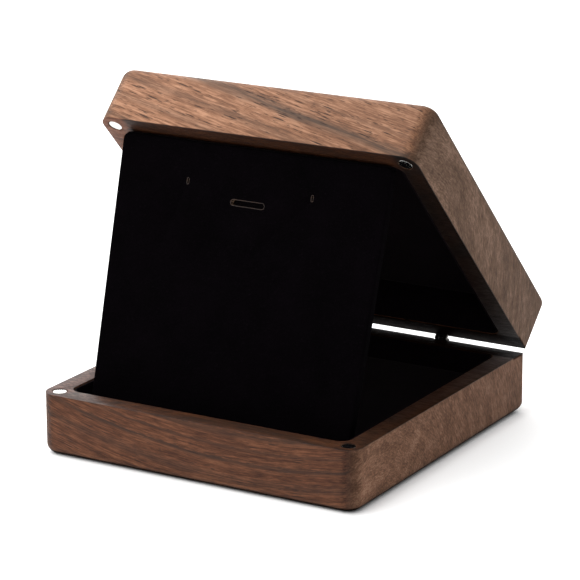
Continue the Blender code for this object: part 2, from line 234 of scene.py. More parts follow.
# patches of the surroundings: azimuth and elevation in degrees, sharpness and strength
GLOWS = (
    (-150.0, 15.0, 8.0, 1.66),
    (-120.0, 15.0, 8.0, 0.62),
    (-90.0, 15.0, 8.0, 0.51),
    (-60.0, 15.0, 8.0, 0.59),
    (-30.0, 15.0, 8.0, 0.36),
    (30.0, 15.0, 8.0, 0.11),
    (60.0, 15.0, 8.0, 0.11),
    (90.0, 15.0, 8.0, 0.06),
    (-135.0, 48.0, 8.0, 1.57),
    (-45.0, 48.0, 8.0, 2.18),
    (0.0, 48.0, 8.0, 0.62),
    (60.0, 48.0, 8.0, 0.56),
    (0.0, 90.0, 8.0, 1.24),
)


def srgb(red, green, blue):
    """A linear colour from the 0 to 255 values that a screen shows."""

    def linear(value):
        share = value / 255
        return share / 12.92 if share <= 0.04045 else ((share + 0.055) / 1.055) ** 2.4

    return (linear(red), linear(green), linear(blue), 1.0)


# The frame's own places

def corners(node, body):
    """The lowest and highest corner of a CAD node in a body's own frame."""
    inverse = FRAMES[body].inverted()
    points = [inverse @ vertex.co for vertex in frame["nodes"][node].data.vertices]
    low = Vector(min(p[i] for p in points) for i in range(3))
    high = Vector(max(p[i] for p in points) for i in range(3))
    return low, high


def biggest_face_normal(node):
    """The normal of the largest flat area of a CAD node."""
    areas = {}
    for polygon in frame["nodes"][node].data.polygons:
        key = tuple(round(value, 3) for value in polygon.normal)
        total, normal = areas.get(key, (0.0, polygon.normal.copy()))
        areas[key] = (total + polygon.area, normal)
    return max(areas.values(), key=lambda entry: entry[0])[1]


def joint_place(name):
    return Vector(next(joint["pos_m"] for joint in frame["joints"] if joint["name"] == name))


lid_normal = biggest_face_normal("lid_shell")
LID_OPENING = math.atan2(abs(lid_normal.y), abs(lid_normal.z))
card_normal = biggest_face_normal("card_cover")
CARD_LEAN = math.atan2(abs(card_normal.y), abs(card_normal.z))
FRAME_PLACES = {
    "base": (Vector((0, 0, 0)), 0.0),
    "lid": (joint_place("lid_hinge"), -LID_OPENING),
    "card": (joint_place("card_tilt"), CARD_LEAN),
}
FRAMES = {
    body: Matrix.Translation(place) @ Matrix.Rotation(turn, 4, "X")
    for body, (place, turn) in FRAME_PLACES.items()
}
card_edge = corners("card_cover", "card")[1]
CARD_TOP = card_edge.y
CARD_HALF_WIDTH = card_edge.x - CARD_FLARE * (1 - CARD_CORNER_RADIUS / CARD_TOP)


# Node graphs

def new_material(name):
    material = bpy.data.materials.new(name)
    material.use_nodes = True
    tree = material.node_tree
    return material, tree, tree.nodes["Principled BSDF"]


def give(tree, socket, value):
    """Link an input to another node's output, or set its value."""
    if isinstance(value, bpy.types.NodeSocket):
        tree.links.new(value, socket)
    else:
        socket.default_value = value


def feed(tree, node, inputs):
    for socket, value in zip(node.inputs, inputs):
        give(tree, socket, value)


def maths(tree, operation, *inputs, clamp=False):
    node = tree.nodes.new("ShaderNodeMath")
    node.operation = operation
    node.use_clamp = clamp
    feed(tree, node, inputs)
    return node.outputs[0]


def combine(tree, x, y, z):
    node = tree.nodes.new("ShaderNodeCombineXYZ")
    feed(tree, node, (x, y, z))
    return node.outputs[0]


def body_millimetres(tree, body):
    """The x, y and z of a body's own frame, in millimetres."""
    coordinates = tree.nodes.new("ShaderNodeTexCoord")
    own = tree.nodes.new("ShaderNodeMapping")
    own.vector_type = "TEXTURE"
    place, turn = FRAME_PLACES[body]
    own.inputs["Location"].default_value = place
    own.inputs["Rotation"].default_value = (turn, 0.0, 0.0)
    tree.links.new(coordinates.outputs["Object"], own.inputs["Vector"])
    scaled = tree.nodes.new("ShaderNodeVectorMath")
    scaled.operation = "SCALE"
    tree.links.new(own.outputs[0], scaled.inputs[0])
    scaled.inputs["Scale"].default_value = MILLIMETRES
    split = tree.nodes.new("ShaderNodeSeparateXYZ")
    tree.links.new(scaled.outputs[0], split.inputs[0])
    return scaled.outputs[0], split.outputs[0], split.outputs[1], split.outputs[2]


def noise(tree, vector, scale=1.0, detail=2.0, roughness=0.5):
    node = tree.nodes.new("ShaderNodeTexNoise")
    tree.links.new(vector, node.inputs["Vector"])
    node.inputs["Scale"].default_value = scale
    node.inputs["Detail"].default_value = detail
    node.inputs["Roughness"].default_value = roughness
    return node.outputs["Fac"]


def noise_along(tree, position, scale, detail, roughness):
    node = tree.nodes.new("ShaderNodeTexNoise")
    node.noise_dimensions = "1D"
    tree.links.new(position, node.inputs["W"])
    node.inputs["Scale"].default_value = scale
    node.inputs["Detail"].default_value = detail
    node.inputs["Roughness"].default_value = roughness
    return node.outputs["Fac"]


def cells(tree, vector):
    node = tree.nodes.new("ShaderNodeTexVoronoi")
    tree.links.new(vector, node.inputs["Vector"])
    node.inputs["Scale"].default_value = 1.0
    return node.outputs["Distance"], node.outputs["Color"]


def spread(tree, value, low, high, to_low=0.0, to_high=1.0):
    """Map low..high to another range, eased and clamped."""
    node = tree.nodes.new("ShaderNodeMapRange")
    node.interpolation_type = "SMOOTHSTEP"
    feed(tree, node, (value, low, high, to_low, to_high))
    return node.outputs[0]


def ramp(tree, factor, stops):
    node = tree.nodes.new("ShaderNodeValToRGB")
    tree.links.new(factor, node.inputs[0])
    elements = node.color_ramp.elements
    for index, (place, colour) in enumerate(stops):
        element = elements[index] if index < 2 else elements.new(place)
        element.position = place
        element.color = colour
    return node.outputs[0]


def mix(tree, factor, first, second, blend="MIX"):
    node = tree.nodes.new("ShaderNodeMix")
    node.data_type = "RGBA"
    node.blend_type = blend
    for name, value in (("Factor_Float", factor), ("A_Color", first), ("B_Color", second)):
        give(tree, next(s for s in node.inputs if s.identifier == name), value)
    return next(s for s in node.outputs if s.identifier == "Result_Color")


def bump(tree, height, distance, strength):
    node = tree.nodes.new("ShaderNodeBump")
    node.inputs["Strength"].default_value = strength
    node.inputs["Distance"].default_value = distance
    tree.links.new(height, node.inputs["Height"])
    return node.outputs[0]


# Materials

def wander(tree, x, y, height, kind, seed):
    """Noise about zero, which moves the growth layers off their circles."""
    steps, shift, detail, roughness = kind
    place = combine(
        tree,
        maths(tree, "MULTIPLY_ADD", x, steps[0], seed + shift),
        maths(tree, "MULTIPLY", y, steps[1]),
        maths(tree, "MULTIPLY", height, steps[2]),
    )
    return maths(tree, "SUBTRACT", noise(tree, place, detail=detail, roughness=roughness), 0.5)


def layers_from_pith(tree, x, y, z, wood):
    """Distance from the pith, the way along the growth rings, and the height level with the grain."""
    sloped = maths(tree, "MULTIPLY_ADD", x, wood["tilt"], z)
    square = maths(tree, "MULTIPLY", x, x)
    height = maths(tree, "MULTIPLY_ADD", square, wood["bend"], sloped)
    slow = wander(tree, x, y, height, SLOW_WANDER, wood["seed"])
    quick = wander(tree, x, y, height, QUICK_WANDER, wood["seed"])
    across = maths(tree, "SUBTRACT", y, wood["pith_y"])
    above = maths(tree, "SUBTRACT", height, wood["pith_z"])
    above_squared = maths(tree, "MULTIPLY", above, above)
    distance = maths(tree, "SQRT", maths(tree, "MULTIPLY_ADD", across, across, above_squared))
    layer = maths(tree, "MULTIPLY_ADD", slow, wood["wander"], distance)
    arc = maths(tree, "MULTIPLY", maths(tree, "ARCTAN2", above, across), RING_RADIUS)
    return maths(tree, "MULTIPLY_ADD", quick, wood["ripple"], layer), arc, height


def drawn_out(tree, places, along, across, shift):
    """A place for noise that is drawn out along the first of three coordinates."""
    return combine(
        tree,
        maths(tree, "MULTIPLY_ADD", places[0], along, shift),
        maths(tree, "MULTIPLY", places[1], across),
        maths(tree, "MULTIPLY", places[2], across),
    )


def grain(tree, places, kind, seed):
    """One kind of the wood's grain."""
    along, across, shift, detail, roughness = GRAIN[kind]
    place = drawn_out(tree, places, along, across, seed + shift)
    return noise(tree, place, detail=detail, roughness=roughness)


def weighted(tree, values, shares, contrast):
    """A sum of noises, each with its share, drawn apart from its middle value."""
    total = 0.0
    for value, share in zip(values, shares):
        total = maths(tree, "MULTIPLY_ADD", value, share, total)
    return maths(tree, "MULTIPLY_ADD", total, contrast, 0.5 - 0.5 * contrast)


def pores(tree, places, kind, seed, radius, crowd):
    """Open pores: dark dashes along the grain, which are dots on the end grain."""
    along, across, shift = kind
    distance, shade = cells(tree, drawn_out(tree, places, along, across, seed + shift))
    own = tree.nodes.new("ShaderNodeSeparateColor")
    tree.links.new(shade, own.inputs[0])
    reach = maths(tree, "MULTIPLY", maths(tree, "MULTIPLY", own.outputs[0], crowd), radius)
    inward = maths(tree, "DIVIDE", distance, maths(tree, "ADD", reach, 0.001))
    depth = maths(tree, "SUBTRACT", 1.0, inward, clamp=True)
    return maths(tree, "MULTIPLY", depth, PORE_DEPTH, clamp=True)


def facing(tree):
    """How far a face turns to the left or right, and the upward part of its normal."""
    coordinates = tree.nodes.new("ShaderNodeTexCoord")
    normal = tree.nodes.new("ShaderNodeSeparateXYZ")
    tree.links.new(coordinates.outputs["Normal"], normal.inputs[0])
    return maths(tree, "ABSOLUTE", normal.outputs[0], clamp=True), normal.outputs[2]


def end_grain(tree, places, mottle, wood):
    """The end grain's colour, drawn out along the growth rings."""
    wide = grain(tree, places, "wide_ring", wood["seed"])
    fine = grain(tree, places, "fine_ring", wood["seed"])
    tone = weighted(tree, (wide, fine, mottle), END_SHARES, wood["end_contrast"])
    return ramp(tree, tone, wood["end_stops"])


def with_streaks(tree, colour, layer, fibre, band, side_share, wood):
    """The dark streaks of the heartwood, with ragged sides."""
    raggedness = maths(tree, "MULTIPLY", maths(tree, "SUBTRACT", fibre, 0.5), STREAK_RAGGEDNESS)
    ragged_layer = maths(tree, "ADD", layer, raggedness)
    broken = spread(tree, band, *BAND_BREAKS)
    for place, half_width, strength in wood["streaks"]:
        offset = maths(tree, "ABSOLUTE", maths(tree, "SUBTRACT", ragged_layer, place))
        amount = spread(tree, offset, 0.0, half_width, strength, 0.0)
        amount = maths(tree, "MULTIPLY", amount, broken)
        colour = mix(tree, maths(tree, "MULTIPLY", amount, side_share), colour, wood["streak_colour"])
    return colour


def with_pores(tree, colour, places, mottle, band, side_share, wood):
    """The wood with its long and short pores, and how deep the pores are."""
    crowd = spread(tree, mottle, *MOTTLE_CROWDS, wood["pore_low"], 1.0)
    crowd = maths(tree, "MULTIPLY", crowd, spread(tree, band, *BAND_CROWDS))
    long_dashes = pores(tree, places, LONG_PORES, wood["seed"], wood["long_pore"], crowd)
    short_dashes = pores(tree, places, SHORT_PORES, wood["seed"], wood["short_pore"], crowd)
    for dashes, strength in ((short_dashes, wood["short_strength"]), (long_dashes, wood["long_strength"])):
        shown = maths(tree, "MULTIPLY", maths(tree, "MULTIPLY", dashes, strength), side_share)
        colour = mix(tree, shown, colour, wood["pore_colour"])
    return colour, maths(tree, "MAXIMUM", long_dashes, short_dashes)


def side_shade(tree, x, sideways, under, wood):
    """Painted light and shade: lighter to the left and darker to the right, painted shade where an upright
    corner turns to the end grain, and painted shade round the underside.
    """
    painted_light_fade = spread(tree, x, *PAINTED_LIGHT_FADE_REACH, *wood["painted_light_fade"])
    sideways_squared = maths(tree, "MULTIPLY", sideways, sideways)
    onward = maths(tree, "SQRT", maths(tree, "MULTIPLY_ADD", sideways_squared, -1.0, 1.0))
    corner = maths(tree, "MULTIPLY", maths(tree, "MULTIPLY", sideways, onward), 2.0, clamp=True)
    corner_shade = maths(tree, "MULTIPLY_ADD", corner, -wood["painted_corner_shade"], 1.0)
    return maths(tree, "MULTIPLY", maths(tree, "MULTIPLY", painted_light_fade, corner_shade), under)


def rim_height(body):
    """The height of a shell's rim in its body's own frame."""
    low, high = corners(f"{body}_shell", body)
    return low.z if body == "lid" else high.z


def back_of(body):
    """How far back a shell reaches in its body's own frame."""
    return corners(f"{body}_shell", body)[1].y


def with_rims(tree, colour, x, y, z, body, wood):
    """The wood with painted shade on its rims, painted light at their left ends, more painted shade at their
    right ends and painted shadow along the back.

    Also gives the shares of the whole rim and of its back stretch.
    """
    # painted shade on the rim, painted light at its left end and more painted shade at its right end
    from_rim = maths(tree, "ABSOLUTE", maths(tree, "SUBTRACT", z, rim_height(body) * MILLIMETRES))
    on_rim = spread(tree, from_rim, *PAINTED_RIM_SHADE_EDGE, 1.0, 0.0)
    at_left = spread(tree, x, *LEFT_RIM_END, 1.0, 0.0)
    painted_rim_light_and_shade = mix(tree, at_left, wood["painted_rim_shade"], wood["painted_left_rim_light"])
    right = spread(tree, x, *RIGHT_RIM_START, 1.0, wood["painted_right_rim_shade"])
    painted_rim_light_and_shade = mix(tree, 1.0, painted_rim_light_and_shade, combine(tree, right, right, right), "MULTIPLY")
    colour = mix(tree, on_rim, colour, painted_rim_light_and_shade, "MULTIPLY")
    # painted shadow along the back stretch of the rim
    from_back = maths(tree, "SUBTRACT", back_of(body) * MILLIMETRES, y)
    near_back = spread(tree, from_back, *BACK_RIM_REACH, 1.0, 0.0)
    back_depth = spread(tree, from_rim, *BACK_RIM_DEPTH, 1.0, 0.0)
    back_rim = maths(tree, "MULTIPLY", back_depth, near_back)
    return mix(tree, back_rim, colour, PAINTED_BACK_RIM_SHADOW, "MULTIPLY"), on_rim, back_rim


def walnut(name, body, wood):
    """Walnut cut from one block: growth layers round a pith, dark streaks, fibres and open pores."""
    material, tree, shader = new_material(name)
    _, x, y, z = body_millimetres(tree, body)
    layer, arc, height = layers_from_pith(tree, x, y, z, wood)
    fibre, band, mottle = (
        grain(tree, (x, y, height), kind, wood["seed"]) for kind in ("fibre", "band", "mottle")
    )
    narrow = noise_along(tree, layer, *LAYER_NOISE)
    tone = weighted(tree, (narrow, band, fibre, mottle), ALONG_SHARES, wood["contrast"])
    along_colour = ramp(tree, tone, wood["side_stops"])

    # end grain shows on the left and right faces
    sideways, slope = facing(tree)
    end_share = spread(tree, sideways, *END_GRAIN_TURN)
    side_share = maths(tree, "MULTIPLY_ADD", end_share, STREAKS_ON_END_GRAIN - 1.0, 1.0)
    colour = mix(tree, end_share, along_colour, end_grain(tree, (arc, layer, x), mottle, wood))
    colour = with_streaks(tree, colour, layer, fibre, band, side_share, wood)
    colour, pore = with_pores(tree, colour, (x, y, height), mottle, band, side_share, wood)

    # painted shade on faces that turn downward, which also takes away their gloss
    under = spread(tree, slope, *PAINTED_UNDER_SHADE_SLOPE, wood["painted_under_shade"], 1.0)
    shade = side_shade(tree, x, sideways, under, wood)
    colour = mix(tree, 1.0, colour, combine(tree, shade, shade, shade), "MULTIPLY")
    colour, on_rim, back_rim = with_rims(tree, colour, x, y, z, body, wood)
    tree.links.new(colour, shader.inputs["Base Color"])

    relief = maths(tree, "MULTIPLY_ADD", pore, -1.0, maths(tree, "MULTIPLY", fibre, FIBRE_RELIEF_SHARE))
    tree.links.new(bump(tree, relief, *WOOD_RELIEF), shader.inputs["Normal"])
    along_roughness = spread(tree, tone, 0.2, 0.8, *WOOD_ROUGHNESS)
    roughness = maths(tree, "MULTIPLY_ADD", end_share, END_ROUGHNESS_MORE, along_roughness)
    tree.links.new(roughness, shader.inputs["Roughness"])
    face_gloss = spread(tree, end_share, 0.0, 1.0, WOOD_GLOSS, END_GLOSS)
    gloss = spread(tree, on_rim, 0.0, 1.0, face_gloss, wood["rim_gloss"])
    # less gloss where the back rim takes its painted shadow
    gloss = maths(tree, "MULTIPLY", gloss, spread(tree, back_rim, 0.0, 1.0, 1.0, BACK_RIM_GLOSS))
    tree.links.new(maths(tree, "MULTIPLY", gloss, under), shader.inputs["Specular IOR Level"])
    return material


def brighter(colour, times):
    return tuple(min(1.0, value * times) for value in colour[:3]) + (1.0,)


def velvet(name, body, colour, sheen):
    """Short black pile: fine tufts, a slow change of nap and a soft sheen at the edges."""
    material, tree, shader = new_material(name)
    place, _, _, _ = body_millimetres(tree, body)
    nap = noise(tree, place, scale=NAP_SCALE, detail=3.0, roughness=0.6)
    tufts = noise(tree, place, scale=TUFT_SCALE, detail=2.0)
    flecks = spread(tree, noise(tree, place, scale=FLECK_SCALE, detail=2.0), *FLECK_LEVELS)
    slow = maths(tree, "MULTIPLY", nap, NAP_SHARE)
    shade = maths(tree, "MULTIPLY_ADD", spread(tree, tufts, 0.3, 0.7), TUFT_SHARE, slow)
    dark, bright = (brighter(colour, times) for times in PILE_SHADES)
    pile = mix(tree, spread(tree, shade, *PILE_LEVELS), dark, bright)
    pile = mix(tree, flecks, pile, brighter(colour, FLECK_SHADE))
    tree.links.new(pile, shader.inputs["Base Color"])
    tree.links.new(spread(tree, nap, 0.3, 0.7, *PILE_ROUGHNESS), shader.inputs["Roughness"])
    tree.links.new(bump(tree, tufts, *PILE_RELIEF), shader.inputs["Normal"])
    shader.inputs["Specular IOR Level"].default_value = PILE_GLOSS
    shader.inputs["Sheen Weight"].default_value = sheen
    shader.inputs["Sheen Roughness"].default_value = SHEEN_ROUGHNESS
    shader.inputs["Sheen Tint"].default_value = srgb(120, 110, 110)
    return material


def cut_weave(name, body):
    """The brown woven ground of the velvet where it is cut, also used as painted sheen on the pile's cut
    edges.
    """
    material, tree, shader = new_material(name)
    place, x, y, _ = body_millimetres(tree, body)
    weft = maths(tree, "SINE", maths(tree, "MULTIPLY", x, WEAVE_TURN))
    warp = maths(tree, "SINE", maths(tree, "MULTIPLY", y, WEAVE_TURN))
    threads = maths(tree, "MULTIPLY_ADD", warp, 0.5, maths(tree, "MULTIPLY", weft, 0.5))
    uneven = noise(tree, place, scale=WEAVE_UNEVEN_SCALE, detail=3.0)
    tone = maths(tree, "MULTIPLY_ADD", threads, 0.15, uneven)
    stops = ((0.25, srgb(16, 9, 6)), (0.5, srgb(38, 23, 15)), (0.8, srgb(70, 47, 32)))
    tree.links.new(ramp(tree, tone, stops), shader.inputs["Base Color"])
    tree.links.new(spread(tree, uneven, 0.3, 0.7, *WEAVE_ROUGHNESS), shader.inputs["Roughness"])
    tree.links.new(bump(tree, threads, *WEAVE_RELIEF), shader.inputs["Normal"])
    return material


def board(name, body):
    """Brown pressed board with a fine fleck."""
    material, tree, shader = new_material(name)
    place, _, _, _ = body_millimetres(tree, body)
    fleck = noise(tree, place, scale=BOARD_FLECK_SCALE, detail=4.0, roughness=0.7)
    stops = ((0.3, srgb(40, 28, 20)), (0.55, srgb(84, 62, 44)), (0.75, srgb(112, 86, 62)))
    tree.links.new(ramp(tree, fleck, stops), shader.inputs["Base Color"])
    tree.links.new(spread(tree, fleck, 0.3, 0.7, *BOARD_ROUGHNESS), shader.inputs["Roughness"])
    tree.links.new(bump(tree, fleck, *BOARD_RELIEF), shader.inputs["Normal"])
    return material


def metal(name, body, colour, low_roughness, high_roughness, scratch, stretch):
    """Plated metal with fine scratches drawn along one axis and a slow change of gloss."""
    material, tree, shader = new_material(name)
    place, x, y, z = body_millimetres(tree, body)
    line_place = combine(tree, maths(tree, "MULTIPLY", x, stretch), y, z)
    lines = noise(tree, line_place, scale=SCRATCH_SCALE, detail=3.0, roughness=0.7)
    cloud = noise(tree, place, scale=METAL_CLOUD_SCALE, detail=2.0)
    tone = maths(tree, "MULTIPLY_ADD", lines, 0.5, maths(tree, "MULTIPLY", cloud, 0.5))
    shine = mix(tree, spread(tree, tone, 0.35, 0.65), brighter(colour, METAL_SHADE), colour)
    tree.links.new(shine, shader.inputs["Base Color"])
    gloss = spread(tree, tone, 0.3, 0.7, low_roughness, high_roughness)
    tree.links.new(gloss, shader.inputs["Roughness"])
    tree.links.new(bump(tree, lines, scratch, SCRATCH_STRENGTH), shader.inputs["Normal"])
    shader.inputs["Metallic"].default_value = 1.0
    return material


# Meshes, each made in its body's own frame and laid in place when it is finished

def block_form(
    low, high, corner=0.0, edge=0.0, edge_side=0,
    corner_steps=CORNER_STEPS, edge_steps=EDGE_STEPS, back_corner=None,
):
    """A box with rounded upright edges and, if asked, a rounded top (1) or bottom (-1) edge.

    back_corner is for a box whose two back upright edges are rounded less than its front ones.
    """
    form = bmesh.new()
    bmesh.ops.create_cube(form, size=1.0)
    size, middle = high - low, (low + high) / 2
    for vertex in form.verts:
        vertex.co = Vector(a * b for a, b in zip(vertex.co, size)) + middle
    if corner:
        upright = [e for e in form.edges if abs(e.verts[0].co.z - e.verts[1].co.z) > size.z / 2]
        if back_corner is not None:
            upright = [e for e in upright if e.verts[0].co.y < middle.y]
        round_edges(form, upright, corner, corner_steps)
    if edge:
        level = high.z if edge_side > 0 else low.z
        ring = [e for e in form.edges if all(abs(v.co.z - level) < edge * ON_LINE_SHARE for v in e.verts)]
        round_edges(form, ring, edge, edge_steps)
    if back_corner is not None:
        ease_back_corners(form, low, high, back_corner)
    return form


def round_edges(form, edges, width, steps, **options):
    bmesh.ops.bevel(
        form, geom=edges, offset=width, segments=steps, profile=0.5, affect="EDGES", **options
    )


def ease_back_corners(form, low, high, radius):
    """Round the two back upright edges and the mitres that they run into."""

    def on_mitre(point):
        from_side = min(point.x - low.x, high.x - point.x)
        return abs(from_side - (high.y - point.y)) < radius * ON_LINE_SHARE

    mitres = [e for e in form.edges if all(on_mitre(v.co) for v in e.verts)]
    round_edges(form, mitres, radius, BACK_CORNER_STEPS)


def cylinder_form(radius, start, end, sides=ROUND_SIDES):
    form = bmesh.new()
    length = (end - start).length
    bmesh.ops.create_cone(
        form, cap_ends=True, segments=sides, radius1=radius, radius2=radius, depth=length
    )
    turn = Vector((0, 0, 1)).rotation_difference(end - start).to_matrix().to_4x4()
    form.transform(Matrix.Translation((start + end) / 2) @ turn)
    return form


def to_object(name, form):
    shape = bpy.data.meshes.new(name)
    form.to_mesh(shape)
    form.free()
    made = bpy.data.objects.new(name, shape)
    bpy.context.scene.collection.objects.link(made)
    return made


def cut(target, form, name="cutter", operation="DIFFERENCE"):
    """Cut a form out of the target, or join it on."""
    cutter = to_object(name, form)
    change = target.modifiers.new(name, "BOOLEAN")
    change.operation = operation
    change.solver = "EXACT"
    change.object = cutter
    bake_modifiers(target)
    bpy.data.objects.remove(cutter, do_unlink=True)


def bake_modifiers(target):
    bpy.context.view_layer.update()
    evaluated = target.evaluated_get(bpy.context.evaluated_depsgraph_get())
    shape = bpy.data.meshes.new_from_object(evaluated)
    old = target.data
    target.modifiers.clear()
    target.data = shape
    shape.name = target.name
    bpy.data.meshes.remove(old)


def ease_edges(target, width, steps):
    change = target.modifiers.new("ease", "BEVEL")
    change.width = width
    change.segments = steps
    change.limit_method = "ANGLE"
    change.angle_limit = CRISP_ANGLE
    change.harden_normals = False
    bake_modifiers(target)


def finish_piece(piece, body, looks, replaced=()):
    """Lay a piece in its place and give it its materials and smooth shading."""
    piece.data.transform(FRAMES[body])
    for look in looks if isinstance(looks, tuple) else (looks,):
        piece.data.materials.append(look)
    piece.data.shade_smooth()
    piece.data.set_sharp_from_angle(angle=SMOOTH_ANGLE)
    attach(piece, body)
    if replaced:
        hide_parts(*replaced)


def shell(body, look, up):
    """One walnut tray, rim up (1) or down (-1), with its cavity, magnet holes and hinge recesses."""
    low, high = corners(f"{body}_shell", body)
    outside = block_form(
        low, high, FRONT_CORNER_RADIUS, OUTER_EDGE_RADIUS, -up, back_corner=BACK_CORNER_RADIUS
    )
    piece = to_object(f"walnut_{body}", outside)
    rim = high.z if up > 0 else low.z
    floor = (low.z if up > 0 else high.z) + up * PANEL
    over = rim + up * CUT_OVERRUN
    cavity_low = Vector((low.x + WALL, low.y + WALL, min(floor, over)))
    cavity_high = Vector((high.x - WALL, high.y - WALL, max(floor, over)))
    cut(piece, block_form(cavity_low, cavity_high, CAVITY_CORNER_RADIUS))
    ease_edges(piece, RIM_EASE, SMALL_STEPS)
    for side in ("left", "right"):
        magnet_low, magnet_high = corners(f"{body}_magnet_{side}", body)
        centre = (magnet_low + magnet_high) / 2
        radius = (magnet_high.x - magnet_low.x) / 2 + HOLE_CLEARANCE
        bottom = (magnet_low.z if up > 0 else magnet_high.z) - up * LEAF_CLEARANCE
        ends = (Vector((centre.x, centre.y, bottom)), Vector((centre.x, centre.y, over)))
        cut(piece, cylinder_form(radius, *ends))
        leaf_low, leaf_high = corners(f"{body}_leaf_{side}", body)
        recess_end = (leaf_low.z if up > 0 else leaf_high.z) - up * LEAF_CLEARANCE
        recess_low = Vector((leaf_low.x - LEAF_CLEARANCE, leaf_low.y - LEAF_CLEARANCE, min(recess_end, over)))
        recess_high = Vector((leaf_high.x + LEAF_CLEARANCE, high.y + CUT_OVERRUN, max(recess_end, over)))
        cut(piece, block_form(recess_low, recess_high))
    finish_piece(piece, body, look, (f"{body}_shell",))


def lining(body, look):
    """The velvet strip round the inside of a tray."""
    low, high = corners(f"{body}_wall_lining", body)
    if body == "lid":
        low.z = rim_height(body) + LINING_BELOW_RIM
    else:
        high.z = rim_height(body) - LINING_BELOW_RIM
    corner = CAVITY_CORNER_RADIUS - LEAF_CLEARANCE
    piece = to_object(f"velvet_{body}_walls", block_form(low, high, corner))
    inner_low = low + Vector((LINING, LINING, -CUT_OVERRUN))
    inner_high = high + Vector((-LINING, -LINING, CUT_OVERRUN))
    cut(piece, block_form(inner_low, inner_high, corner - LINING))
    ease_edges(piece, LINING / 3, LINING_STEPS)
    finish_piece(piece, body, look, (f"{body}_wall_lining",))


def pad(name, node, body, look, soft_side, crown):
    """A velvet pad with rounded edges, a low crown and slightly uneven stuffing."""
    low, high = corners(node, body)
    corner = CAVITY_CORNER_RADIUS / 2
    form = block_form(low, high, corner, CUSHION_EDGE, soft_side, SOFT_STEPS, SOFT_STEPS)
    columns = int((high.x - low.x) / PAD_STEP)
    rows = int((high.y - low.y) / PAD_STEP)
    for axis, count in ((0, columns), (1, rows)):
        for index in range(1, count):
            place = Vector((0, 0, 0))
            place[axis] = low[axis] + (high[axis] - low[axis]) * index / count
            normal = Vector((0, 0, 0))
            normal[axis] = 1.0
            geometry = form.verts[:] + form.edges[:] + form.faces[:]
            bmesh.ops.bisect_plane(form, geom=geometry, plane_co=place, plane_no=normal)
    top = high.z if soft_side > 0 else low.z
    middle = (low + high) / 2
    for vertex in form.verts:
        if abs(vertex.co.z - top) > CUSHION_EDGE:
            continue
        across = (vertex.co.x - middle.x) / (high.x - low.x) * 2
        along = (vertex.co.y - middle.y) / (high.y - low.y) * 2
        rise = (1 - across ** 4) * (1 - along ** 4)
        first, second = (across * a + along * b for a, b in PAD_WAVES)
        fullness = 1 - PAD_WAVE_SHARE + PAD_WAVE_SHARE * math.sin(first) * math.cos(second)
        vertex.co.z -= soft_side * crown * (1 - rise * fullness)
    piece = to_object(name, form)
    finish_piece(piece, body, look, (node,))


def magnet(node, body, look):
    """A disc magnet with a polished face and a small chamfer."""
    low, high = corners(node, body)
    centre = (low + high) / 2
    radius = (high.x - low.x) / 2
    ends = [Vector((centre.x, centre.y, z)) for z in (low.z, high.z)]
    form = cylinder_form(radius, *ends)
    rings = [e for e in form.edges if e.verts[0].co.z == e.verts[1].co.z]
    round_edges(form, rings, MAGNET_CHAMFER, SMALL_STEPS)
    finish_piece(to_object(f"disc_{node}", form), body, look, (node,))


def card_cuts(piece, low, high):
    """The long slot and the two slits beside it."""
    cuts = [(0, SLOT_BELOW_TOP, SLOT_LENGTH, SLOT_HEIGHT)]
    for side in (-1, 1):
        cuts.append((side * SLIT_SPACING / 2, SLIT_BELOW_TOP, SLIT_WIDTH, SLIT_HEIGHT))
    for x, below_top, width, height in cuts:
        y = CARD_TOP - below_top
        cut_low = Vector((x - width / 2, y - height / 2, low.z - CUT_OVERRUN))
        cut_high = Vector((x + width / 2, y + height / 2, high.z + CUT_OVERRUN))
        rounding = min(width, height) * CUT_END_SHARE
        cut(piece, block_form(cut_low, cut_high, rounding, corner_steps=CARD_CORNER_STEPS))
    return cuts


def cut_near(point, cuts):
    """The cut whose outline a point lies on or close to, if any."""
    for number, (x, below_top, width, height) in enumerate(cuts):
        y = CARD_TOP - below_top
        if abs(point.x - x) < width / 2 + CUT_EDGE and abs(point.y - y) < height / 2 + CUT_EDGE:
            return number
    return None


def flared(form):
    """A layer of the card, widened from its foot to its top."""
    for vertex in form.verts:
        vertex.co.x *= 1 + CARD_FLARE / CARD_HALF_WIDTH * vertex.co.y / CARD_TOP
    return form


